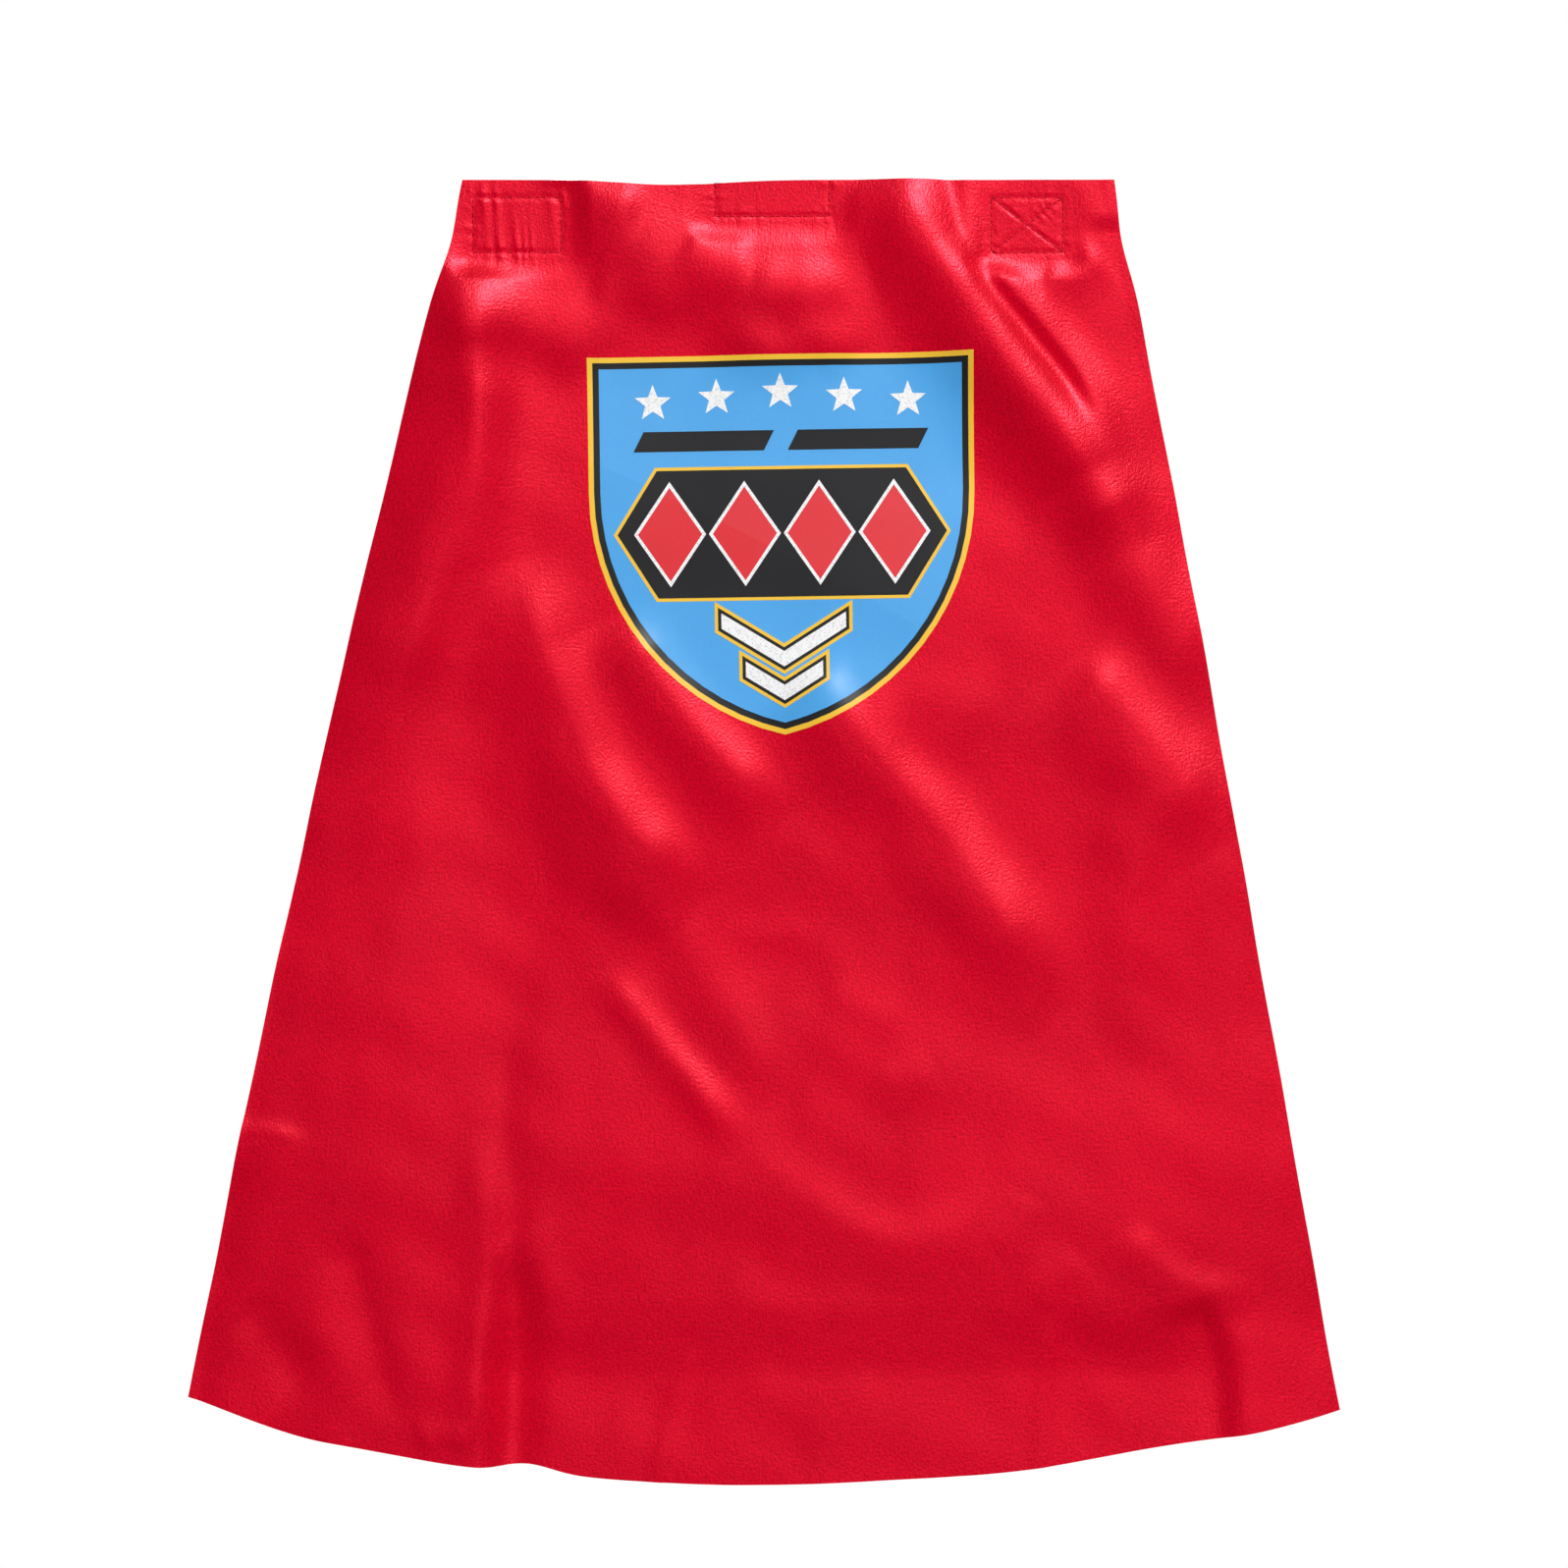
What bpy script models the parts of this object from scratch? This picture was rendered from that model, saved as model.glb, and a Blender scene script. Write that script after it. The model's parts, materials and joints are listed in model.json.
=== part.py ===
"""Child's satin superhero cape, which fastens to the back of a T-shirt with three pieces of hook tape.

Blender 4.5, metres, +Z up. The cape hangs upright: -Y is its shiny printed face, +Y is the wearer's back, and +X is
to the right of someone who looks at the print. The origin is the centre of the centre strip's hook face, and all
three hook faces lie in the plane y = 0. The cape is one satin panel. It is cut here at two level fold lines, so that
two hinges can carry the bending of the cloth.
"""

import math

import bmesh
import bpy
from mathutils import Matrix, Vector

# The panel. A depth is measured down from its straight top edge.
TOP_HALF_WIDTH = 0.110
HEM_HALF_WIDTH = 0.1925
SIDE_LENGTH = 0.414  # depth of the two lower corners
CENTRE_LENGTH = 0.438  # depth of the hem at its middle
SIDE_BOW = 0.0026  # how far each side edge bows out
TOP_ABOVE_ORIGIN = 0.007
PANEL_THICKNESS = 0.0008

# The two fold lines, and half of the slot that each leaves in the panel
SHOULDER_FOLD_DEPTH = 0.046
WAIST_FOLD_DEPTH = 0.215
HALF_FOLD_SLOT = 0.00075

# Below the waist fold the cloth billows out from the wearer, most at the middle of the hem.
HEM_BILLOW = 0.015
BILLOW_POWER = 1.4

TOUCH_GAP = 0.0003  # between pieces that touch

# Hook tape: a woven base, sewn to the inside of the panel, and the field of hooks on it
TAPE_BASE = 0.0006
HOOK_HEIGHT = 0.0012
TAPE_SELVEDGE = 0.0016
TAPE_HEIGHT = 0.020
SIDE_TAPE_X = 0.086
SIDE_TAPE_DEPTH = 0.0152  # of the side tapes' centres
LEFT_TAPE_WIDTH = 0.0313
RIGHT_TAPE_WIDTH = 0.0257
STRIP_WIDTH = 0.040
STRIP_HEIGHT = 0.012

# Lockstitch seams, seen on the printed face
THREAD_WIDTH = 0.0006
THREAD_THICKNESS = 0.0004
SEAM_INSET = 0.0008  # from a tape's edge to the middle of its seam

# Layers of the cape, as distances from the hook faces towards -Y
PANEL_INSIDE = HOOK_HEIGHT + TAPE_BASE + TOUCH_GAP
PANEL_MIDDLE = PANEL_INSIDE + PANEL_THICKNESS / 2
PANEL_FACE = PANEL_INSIDE + PANEL_THICKNESS

# The emblem is cut from films that are pressed on in layers. Its own frame has z = 0 at the shield's top edge.
EMBLEM_DEPTH = 0.059
EMBLEM_X = 0.0025
EMBLEM_TILT = math.radians(0.9)
FILM_THICKNESS = 0.00015
SHIELD_HALF_WIDTH = 0.065
SHIELD_HEIGHT = 0.128
SHIELD_SHOULDER = 0.046  # length of the straight part of the shield's sides
OUTLINE_WIDTH = 0.0018
BORDER_WIDTH = 0.0021
STAR_RADIUS = 0.0064
STAR_WAIST = 0.42  # a star's inner radius over its outer one
STAR_PITCH = 0.0215
STAR_ROW_Z = -0.0125
STAR_ROW_SAG = 0.0016  # how far each pair of stars sits below the pair inside it
STRIPE_LENGTH = 0.044
STRIPE_HEIGHT = 0.0068
STRIPE_SLANT = 0.0035
STRIPE_X = 0.026
STRIPE_Z = -0.0287
PLAQUE_Z = -0.0600
PLAQUE_HALF_LENGTH = 0.0555
PLAQUE_HALF_HEIGHT = 0.0215
PLAQUE_POINT = 0.0135  # how far the plaque's pointed ends taper
DIAMOND_COUNT = 4
DIAMOND_PITCH = 0.0252
DIAMOND_HALF_WIDTH = 0.0108
DIAMOND_HALF_HEIGHT = 0.0158
DIAMOND_EDGE = 0.0011
CHEVRON_HALF_WIDTHS = (0.021, 0.013)
CHEVRON_SLOPE = 0.62
CHEVRON_BAND = 0.0052
CHEVRON_TOP_Z = -0.0868
CHEVRON_SPACING = 0.0114  # from one chevron's point to the next one's
FILM_EDGE = 0.0011  # how far each backing film shows around the one on it

# Base colour (linear), roughness and metallic value
MATERIALS = {
    "red_satin": ((0.70, 0.006, 0.028), 0.38, 0.0),
    "red_hook_tape": ((0.42, 0.010, 0.025), 0.80, 0.0),
    "red_thread": ((0.36, 0.004, 0.016), 0.60, 0.0),
    "yellow_film": ((0.90, 0.58, 0.06), 0.50, 0.0),
    "black_film": ((0.018, 0.018, 0.020), 0.50, 0.0),
    "blue_film": ((0.05, 0.31, 0.72), 0.50, 0.0),
    "white_film": ((0.86, 0.86, 0.87), 0.50, 0.0),
    "red_film": ((0.74, 0.035, 0.055), 0.50, 0.0),
}


def material(name):
    """The named material, made at its first use."""
    found = bpy.data.materials.get(name)
    if found:
        return found
    colour, roughness, metallic = MATERIALS[name]
    made = bpy.data.materials.new(name)
    made.use_nodes = True
    shader = made.node_tree.nodes["Principled BSDF"]
    shader.inputs["Base Color"].default_value = (*colour, 1.0)
    shader.inputs["Roughness"].default_value = roughness
    shader.inputs["Metallic"].default_value = metallic
    return made


def fold_empty(name, depth, parent=None):
    """The empty that a moving group hangs from. It stands on the fold line that the group turns about."""
    empty = bpy.data.objects.new(name, None)
    bpy.context.scene.collection.objects.link(empty)
    empty.location = (0, -PANEL_MIDDLE, TOP_ABOVE_ORIGIN - depth)
    hang(empty, parent)
    return empty


def hang(obj, parent):
    """Parents an object to its group's empty and leaves it where it is."""
    if parent:
        obj.parent = parent
        obj.matrix_parent_inverse = Matrix.Translation(-parent.location)


def finished(name, shape, slot, group):
    """Turns a bmesh into a named object with its material, in its moving group."""
    mesh = bpy.data.meshes.new(name)
    bmesh.ops.recalc_face_normals(shape, faces=shape.faces)
    shape.to_mesh(mesh)
    shape.free()
    mesh.materials.append(material(slot))
    obj = bpy.data.objects.new(name, mesh)
    bpy.context.scene.collection.objects.link(obj)
    hang(obj, group)
    return obj


def half_width(depth):
    """Half of the panel's width at a depth."""
    share = depth / SIDE_LENGTH
    straight = TOP_HALF_WIDTH + (HEM_HALF_WIDTH - TOP_HALF_WIDTH) * share
    return straight + SIDE_BOW * math.sin(math.pi * share)


def hem_depth(across):
    """Depth of the hem's arc at a share (-1 to 1) of its width."""
    drop = CENTRE_LENGTH - SIDE_LENGTH
    radius = (HEM_HALF_WIDTH**2 + drop**2) / (2 * drop)
    return CENTRE_LENGTH - radius + math.sqrt(radius**2 - (across * HEM_HALF_WIDTH) ** 2)


def stand_off(across, depth):
    """Distance of the panel's middle surface from the hook faces."""
    share = max(0.0, (depth - WAIST_FOLD_DEPTH) / (CENTRE_LENGTH - WAIST_FOLD_DEPTH))
    return PANEL_MIDDLE + HEM_BILLOW * share**BILLOW_POWER * (1 - across**2)


def panel(name, top_depth, bottom_depth, columns, rows, group=None):
    """A stretch of the panel between two depths. bottom_depth takes a share (-1 to 1) of the width."""
    shape = bmesh.new()
    bmesh.ops.create_grid(shape, x_segments=columns, y_segments=rows, size=1)
    for vertex in shape.verts:
        across = vertex.co.x
        depth = top_depth + (bottom_depth(across) - top_depth) * (1 - vertex.co.y) / 2
        side = half_width(min(depth, SIDE_LENGTH))
        vertex.co = (across * side, -stand_off(across, depth), TOP_ABOVE_ORIGIN - depth)
    obj = finished(name, shape, "red_satin", group)
    solidify = obj.modifiers.new("cloth thickness", "SOLIDIFY")
    solidify.thickness = PANEL_THICKNESS
    solidify.offset = 0
    obj.data.shade_smooth()
    return obj


def plate(outline, near, far):
    """A bmesh of a flat outline of (x, z) points that reaches from y = near to y = far."""
    shape = bmesh.new()
    face = shape.faces.new([shape.verts.new((x, near, z)) for x, z in outline])
    sides = bmesh.ops.extrude_face_region(shape, geom=[face])
    moved = [item for item in sides["geom"] if isinstance(item, bmesh.types.BMVert)]
    bmesh.ops.translate(shape, verts=moved, vec=(0, far - near, 0))
    bmesh.ops.recalc_face_normals(shape, faces=shape.faces)
    return shape


def rectangle(width, height, x=0.0, z=0.0):
    """A rectangle's corners, counter-clockwise as the print's reader sees them."""
    left, right = x - width / 2, x + width / 2
    low, high = z - height / 2, z + height / 2
    return [(left, low), (right, low), (right, high), (left, high)]


def grown(outline, distance):
    """A counter-clockwise outline with each of its sides moved out by a distance."""
    points = [Vector(point) for point in outline]
    result = []
    for before, here, after in zip(points[-1:] + points[:-1], points, points[1:] + points[:1]):
        arriving = (here - before).normalized()
        leaving = (after - here).normalized()
        # Both sides' outward normals have the same share of the mitre.
        mitre = Vector((arriving.y + leaving.y, -arriving.x - leaving.x))
        result.append(tuple(here + mitre * distance / (1 + arriving.dot(leaving))))
    return result


def hook_tape(name, x, depth, width, height):
    """A piece of hook tape: the woven base, and the raised field of hooks that faces the wearer."""
    base = rectangle(width, height, x, TOP_ABOVE_ORIGIN - depth)
    shape = plate(base, -HOOK_HEIGHT - TAPE_BASE, -HOOK_HEIGHT)
    back = max(shape.faces, key=lambda face: face.calc_center_median().y)
    bmesh.ops.inset_region(shape, faces=[back], thickness=TAPE_SELVEDGE)
    hooks = bmesh.ops.extrude_face_region(shape, geom=[back])["geom"]
    bmesh.ops.delete(shape, geom=[back], context="FACES_ONLY")
    raised = [item for item in hooks if isinstance(item, bmesh.types.BMVert)]
    bmesh.ops.translate(shape, verts=raised, vec=(0, HOOK_HEIGHT, 0))
    return finished(name, shape, "red_hook_tape", None)


def seam(name, outline, holes=()):
    """A seam's thread on the printed face: an outline, less its holes."""
    near = -PANEL_FACE - TOUCH_GAP
    far = near - THREAD_THICKNESS
    obj = finished(name, plate(outline, near, far), "red_thread", None)
    for number, hole in enumerate(holes, 1):
        through = plate(hole, near + THREAD_THICKNESS, far - THREAD_THICKNESS)
        cutter = finished(f"{name}_hole_{number}", through, "red_thread", None)
        cutter.hide_render = True
        cutter.display_type = "WIRE"
        cut = obj.modifiers.new(cutter.name, "BOOLEAN")
        cut.object = cutter
        cut.operation = "DIFFERENCE"
    return obj


def seams():
    """The seams of the three tapes: a plain box, a box with a cross, and a strip whose top edge is open."""
    z = TOP_ABOVE_ORIGIN - SIDE_TAPE_DEPTH
    inset = 2 * SEAM_INSET
    left = rectangle(LEFT_TAPE_WIDTH - inset, TAPE_HEIGHT - inset, -SIDE_TAPE_X, z)
    seam(
        "left_tape_stitching",
        grown(left, THREAD_WIDTH / 2),
        [grown(left, -THREAD_WIDTH / 2)],
    )
    right = rectangle(RIGHT_TAPE_WIDTH - inset, TAPE_HEIGHT - inset, SIDE_TAPE_X, z)
    cross = (SIDE_TAPE_X, z)
    # The two diagonals and the box leave four triangles open.
    triangles = [[first, second, cross] for first, second in zip(right, right[1:] + right[:1])]
    seam(
        "right_tape_stitching",
        grown(right, THREAD_WIDTH / 2),
        [grown(triangle, -THREAD_WIDTH / 2) for triangle in triangles],
    )
    strip = rectangle(STRIP_WIDTH - inset, STRIP_HEIGHT - inset)
    above = [(x, z + THREAD_WIDTH * (z > 0)) for x, z in grown(strip, -THREAD_WIDTH / 2)]
    left_x, right_x = above[3][0] - THREAD_WIDTH, above[2][0] + THREAD_WIDTH
    low = above[0][1] - THREAD_WIDTH
    u_shape = [(left_x, low), (right_x, low), (right_x, above[2][1]), above[2], above[1], above[0], above[3]]
    seam("centre_tape_stitching", u_shape + [(left_x, above[3][1])])


def shield(inset):
    """The shield's outline, moved in by a distance: a flat top, straight sides and two arcs that meet in a point."""
    drop = SHIELD_HEIGHT - SHIELD_SHOULDER
    radius = (SHIELD_HALF_WIDTH**2 + drop**2) / (2 * SHIELD_HALF_WIDTH)
    centre = SHIELD_HALF_WIDTH - radius
    end = math.acos(-centre / (radius - inset))
    steps = 14
    angles = [end * step / steps for step in range(steps + 1)]
    right = [
        (centre + (radius - inset) * math.cos(angle), -SHIELD_SHOULDER - (radius - inset) * math.sin(angle))
        for angle in angles
    ]
    right.insert(0, (SHIELD_HALF_WIDTH - inset, -inset))
    left = [(-x, z) for x, z in right]
    return left + right[-2::-1]


def star(x, z):
    """A five-pointed star, counter-clockwise from its top point."""
    points = []
    for step in range(10):
        angle = math.radians(90 + 36 * step)
        radius = STAR_RADIUS * (STAR_WAIST if step % 2 else 1)
        points.append((x + radius * math.cos(angle), z + radius * math.sin(angle)))
    return points


def chevron(arm, point_z):
    """A V whose band hangs to a point at point_z. Its arms reach as far as arm on both sides."""
    end_z = point_z + CHEVRON_SLOPE * arm
    return [
        (0, point_z),
        (arm, end_z),
        (arm, end_z + CHEVRON_BAND),
        (0, point_z + CHEVRON_BAND),
        (-arm, end_z + CHEVRON_BAND),
        (-arm, end_z),
    ]


def film(name, outline, layer, slot, group):
    """One cut film of the emblem. The layers are counted from the satin."""
    near = -PANEL_FACE - TOUCH_GAP - (layer - 1) * (FILM_THICKNESS + TOUCH_GAP)
    shape = plate(outline, near, near - FILM_THICKNESS)
    tilt = Matrix.Rotation(-EMBLEM_TILT, 4, "Y")
    place = Matrix.Translation((EMBLEM_X, 0, TOP_ABOVE_ORIGIN - EMBLEM_DEPTH))
    bmesh.ops.transform(shape, matrix=place @ tilt, verts=shape.verts)
    return finished(name, shape, slot, group)


def emblem(group):
    """A shield with a row of stars, two stripes, a plaque of red diamonds and two chevrons."""
    film("emblem_outline", shield(0), 1, "yellow_film", group)
    film("emblem_border", shield(OUTLINE_WIDTH), 2, "black_film", group)
    film("emblem_field", shield(OUTLINE_WIDTH + BORDER_WIDTH), 3, "blue_film", group)
    for number in range(5):
        place = number - 2
        row_z = STAR_ROW_Z - STAR_ROW_SAG * abs(place)
        film(f"star_{number + 1}", star(place * STAR_PITCH, row_z), 4, "white_film", group)
    for side, x in (("left", -STRIPE_X), ("right", STRIPE_X)):
        square = rectangle(STRIPE_LENGTH, STRIPE_HEIGHT, x, STRIPE_Z)
        slanted = [(px + STRIPE_SLANT * (pz - STRIPE_Z) / STRIPE_HEIGHT, pz) for px, pz in square]
        film(f"{side}_stripe", slanted, 4, "black_film", group)
    taper = PLAQUE_HALF_LENGTH - PLAQUE_POINT
    plaque = rectangle(2 * taper, 2 * PLAQUE_HALF_HEIGHT, 0, PLAQUE_Z)
    plaque.insert(2, (PLAQUE_HALF_LENGTH, PLAQUE_Z))
    plaque.append((-PLAQUE_HALF_LENGTH, PLAQUE_Z))
    film("plaque_outline", grown(plaque, FILM_EDGE), 4, "yellow_film", group)
    film("plaque", plaque, 5, "black_film", group)
    for number in range(DIAMOND_COUNT):
        x = (number - (DIAMOND_COUNT - 1) / 2) * DIAMOND_PITCH
        diamond = [
            (x, PLAQUE_Z - DIAMOND_HALF_HEIGHT),
            (x + DIAMOND_HALF_WIDTH, PLAQUE_Z),
            (x, PLAQUE_Z + DIAMOND_HALF_HEIGHT),
            (x - DIAMOND_HALF_WIDTH, PLAQUE_Z),
        ]
        film(f"diamond_edge_{number + 1}", grown(diamond, DIAMOND_EDGE), 6, "white_film", group)
        film(f"diamond_{number + 1}", diamond, 7, "red_film", group)
    first_point = CHEVRON_TOP_Z - CHEVRON_SLOPE * CHEVRON_HALF_WIDTHS[0] - CHEVRON_BAND
    for number, arm in enumerate(CHEVRON_HALF_WIDTHS, 1):
        outline = chevron(arm, first_point - (number - 1) * CHEVRON_SPACING)
        film(f"chevron_outline_{number}", grown(outline, 2 * FILM_EDGE), 4, "yellow_film", group)
        film(f"chevron_backing_{number}", grown(outline, FILM_EDGE), 5, "black_film", group)
        film(f"chevron_{number}", outline, 6, "white_film", group)


def main():
    for old in list(bpy.data.objects):
        bpy.data.objects.remove(old)
    shoulder = fold_empty("shoulder_fold", SHOULDER_FOLD_DEPTH)
    waist = fold_empty("waist_fold", WAIST_FOLD_DEPTH, shoulder)

    yoke_edge = SHOULDER_FOLD_DEPTH - HALF_FOLD_SLOT
    upper_edge = WAIST_FOLD_DEPTH - HALF_FOLD_SLOT
    panel("panel_yoke", 0, lambda across: yoke_edge, 8, 3)
    panel("panel_upper", yoke_edge + 2 * HALF_FOLD_SLOT, lambda across: upper_edge, 12, 6, shoulder)
    panel("panel_lower", upper_edge + 2 * HALF_FOLD_SLOT, hem_depth, 28, 14, waist)

    hook_tape("left_hook_tape", -SIDE_TAPE_X, SIDE_TAPE_DEPTH, LEFT_TAPE_WIDTH, TAPE_HEIGHT)
    hook_tape("right_hook_tape", SIDE_TAPE_X, SIDE_TAPE_DEPTH, RIGHT_TAPE_WIDTH, TAPE_HEIGHT)
    hook_tape("centre_hook_tape", 0, TOP_ABOVE_ORIGIN, STRIP_WIDTH, STRIP_HEIGHT)
    seams()
    emblem(shoulder)


main()
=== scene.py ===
"""Superhero cape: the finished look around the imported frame.

Each piece of the cape has its own operator, which models it in the frame's own metres: the satin in two lengths that
meet on one line, the hook tapes with their hooks, the lockstitch and the cut films of the shield emblem.
"""

import json
import math
import random

import bmesh
import bpy
import numpy as np
from bpy.props import FloatProperty, FloatVectorProperty, IntProperty, PointerProperty
from mathutils import Matrix, Vector


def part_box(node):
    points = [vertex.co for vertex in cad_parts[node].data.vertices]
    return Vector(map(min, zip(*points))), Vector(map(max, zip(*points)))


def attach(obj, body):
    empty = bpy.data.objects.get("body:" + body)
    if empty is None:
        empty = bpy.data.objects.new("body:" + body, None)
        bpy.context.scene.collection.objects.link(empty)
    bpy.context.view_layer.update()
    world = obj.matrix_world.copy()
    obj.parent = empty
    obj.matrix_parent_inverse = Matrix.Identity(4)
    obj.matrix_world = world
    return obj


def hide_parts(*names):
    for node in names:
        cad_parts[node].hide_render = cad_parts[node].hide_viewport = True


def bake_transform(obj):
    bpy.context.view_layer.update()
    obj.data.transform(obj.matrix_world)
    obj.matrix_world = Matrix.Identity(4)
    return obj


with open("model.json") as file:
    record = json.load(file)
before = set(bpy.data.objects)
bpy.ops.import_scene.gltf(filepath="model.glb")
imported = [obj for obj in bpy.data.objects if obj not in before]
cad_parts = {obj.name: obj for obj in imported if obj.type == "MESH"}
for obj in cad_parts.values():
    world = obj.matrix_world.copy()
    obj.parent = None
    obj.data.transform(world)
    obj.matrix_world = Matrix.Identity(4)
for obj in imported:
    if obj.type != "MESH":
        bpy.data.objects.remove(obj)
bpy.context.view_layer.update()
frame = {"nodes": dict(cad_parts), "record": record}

bl_info = {
    "name": "Superhero Cape",
    "version": (1, 0, 0),
    "blender": (4, 5, 0),
    "location": "View3D > Sidebar > Cape",
    "description": "Models a child's satin superhero cape with hook tapes and a shield emblem",
    "category": "Add Mesh",
}

MM = 0.001
TOP_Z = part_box("panel_yoke")[1].z
HEM_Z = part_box("panel_lower")[0].z
HEM_HALF_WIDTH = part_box("panel_lower")[1].x
WAIST_Z = (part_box("panel_upper")[0].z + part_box("panel_lower")[1].z) / 2
EMBLEM_TOP_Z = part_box("emblem_outline")[1].z
EMBLEM_LOW_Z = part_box("emblem_outline")[0].z
TAPES = ("left_hook_tape", "centre_hook_tape", "right_hook_tape")
TAPE_FRONT_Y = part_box(TAPES[0])[0].y
CUT_LENGTH = TOP_Z - HEM_Z

TAPE_ZONE_DEPTH = 0.034
TAPE_ZONE_ROW = 0.0008
COVER_MARGIN = 0.010
HEM_FALL_DEPTH = 0.376
HEM_FALL_LEFT_X = -0.100
HEM_FALL_RIGHT_X = 0.165
EMBLEM_CALM_HALF_WIDTH = 0.075
SEAM_BELOW_EMBLEM = 0.003
PUCKER_SPACING = 0.0044
GROOVE_WIDTH = 0.0008
GATHER_REACH = 0.0021
WRINKLE_REACH_INSIDE = 0.0085
WRINKLE_REACH_OUTSIDE = 0.0024
HOOK_BEND = math.radians(205)

# Ridges and valleys of the hanging satin, in millimetres: a route over (x, depth below the top edge), the height, and
# the widths of its two flanks. The height is away from the wearer. The first width is that of the flank below or left
# of the route, and the second that of the flank above or right of it.
FOLDS = (
    # the drag line from beside the centre strip to the right edge, and the two pinches beside the right tape
    (((38, -8), (43, 3), (51, 20), (61, 37), (79, 64), (90, 77), (101, 91), (112, 107), (122, 125)), 8.8, 17, 12),
    (((60, -8), (67, 14), (76, 31), (88, 45), (101, 61), (111, 78), (120, 98)), 2.4, 5, 6),
    (((67, 25), (74, 36), (86, 51), (98, 66), (108, 82)), -2.6, 4, 4),
    (((60, 18), (72, 38), (87, 60), (101, 82), (111, 106)), 2.6, 14, 18),
    (((57, -10), (61, 4), (65, 18), (70, 30)), -1.6, 4, 4),
    (((92, 28), (102, 30), (112, 24)), 1.6, 8, 7),
    (((112, -10), (113, 4), (113, 18)), 1.6, 8, 6),
    # the swag between the left tape and the centre strip, with its puffs
    (((-74, 6), (-52, 18), (-26, 31), (-5, 36), (14, 36), (32, 29)), 4.0, 15, 17),
    (((-76, -6), (-60, 5), (-42, 10)), 2.6, 9, 8),
    (((-30, 20), (-18, 27), (-6, 28)), 1.2, 9, 9),
    (((-8, 32), (10, 37), (26, 33)), 1.0, 9, 9),
    (((-20, 47), (0, 57), (16, 54), (30, 61)), 2.0, 9, 8),
    (((-62, 36), (-46, 38), (-30, 46)), 1.1, 8, 8),
    # the bulge under the left tape
    (((-116, 48), (-100, 47), (-86, 47), (-68, 53), (-54, 61)), 3.6, 13, 16),
    # the left side falls away over the wearer's shoulder
    (((-100, 18), (-100, 50), (-102, 85), (-111, 125), (-125, 160), (-143, 204)), 7.6, 22, 12),
    (((-98, 56), (-96, 100), (-95, 156)), 2.6, 8, 12),
    # folds under the emblem
    (((-93, 108), (-89, 140), (-84, 172), (-82, 212), (-84, 262), (-86, 330)), -1.8, 26, 13),
    (((-88, 128), (-82, 149), (-73, 173), (-62, 198), (-51, 217), (-37, 231), (-22, 243)), 6.4, 24, 12),
    (((-52, 146), (-45, 161), (-35, 175), (-24, 189), (-10, 203), (6, 215)), 4.6, 15, 9.5),
    (((10, 165), (19, 176), (40, 201), (58, 222), (72, 243), (84, 261), (99, 281)), 5.3, 18, 11),
    (((30, 180), (52, 176), (78, 186)), 1.6, 14, 14),
    (((106, 98), (118, 120), (134, 146), (158, 172)), 4.6, 16, 12),
    (((100, 162), (117, 180), (132, 197), (150, 226)), 4.8, 20, 11),
    (((118, 204), (122, 250), (121, 300)), 1.5, 10, 12),
    (((-51, 233), (-27, 261), (-12, 286), (2, 312)), 1.6, 10, 11),
    (((-58, 266), (-46, 281), (-36, 293), (-22, 310), (-10, 326)), 2.2, 7, 6),
    (((-14, 251), (0, 255), (14, 252)), 0.4, 5, 5),
    (((34, 300), (42, 304), (56, 298)), 0.8, 8, 7),
    (((18, 272), (30, 279), (44, 286)), 0.7, 7, 7),
    # the slack across the skirt
    (((-22, 318), (2, 337), (24, 352), (44, 358), (64, 352), (82, 340)), 1.5, 16, 9),
    (((104, 362), (86, 378)), 0.5, 7, 7),
    (((88, 342), (76, 362)), 0.5, 6, 6),
    (((118, 352), (128, 364), (140, 372), (164, 376)), 1.6, 9, 6),
    # upright flutes that run out at the hem
    (((-124, 170), (-122, 230), (-128, 290), (-133, 336), (-134, 384)), 2.2, 18, 18),
    (((-205, 330), (-188, 372), (-180, 420)), -1.6, 16, 26),
    (((-96, 318), (-96, 350), (-96, 376), (-98, 404), (-99, 440)), 2.2, 9, 7),
    (((-90, 260), (-89, 350), (-87, 450)), -1.3, 6, 8),
    (((-88, 362), (-86, 388), (-86, 412), (-87, 450)), -2.6, 6, 8),
    (((-86, 352), (-79, 364), (-71, 380)), 1.0, 7, 7),
    (((-144, 352), (-136, 384), (-126, 420)), -1.7, 9, 6),
    (((-120, 424), (-109, 421), (-100, 424)), 1.1, 5, 5),
    (((-178, 376), (-166, 392), (-152, 408)), -1.8, 9, 9),
    (((-25, 390), (-33, 414), (-41, 450)), 0.8, 4, 3),
    (((94, 380), (91.5, 410), (90, 450)), 0.8, 4, 3),
    (((141, 376), (146, 390), (149, 406), (150, 440)), -2.2, 10, 5),
    (((156, 382), (158, 404), (158, 428)), 0.6, 4, 8),
    (((-158, 230), (-164, 320), (-172, 430)), 2.6, 80, 44),
    # the pinch at the left edge
    (((-204, 321), (-184, 320), (-168, 321), (-154, 325)), 1.4, 34, 3.5),
)


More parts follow.
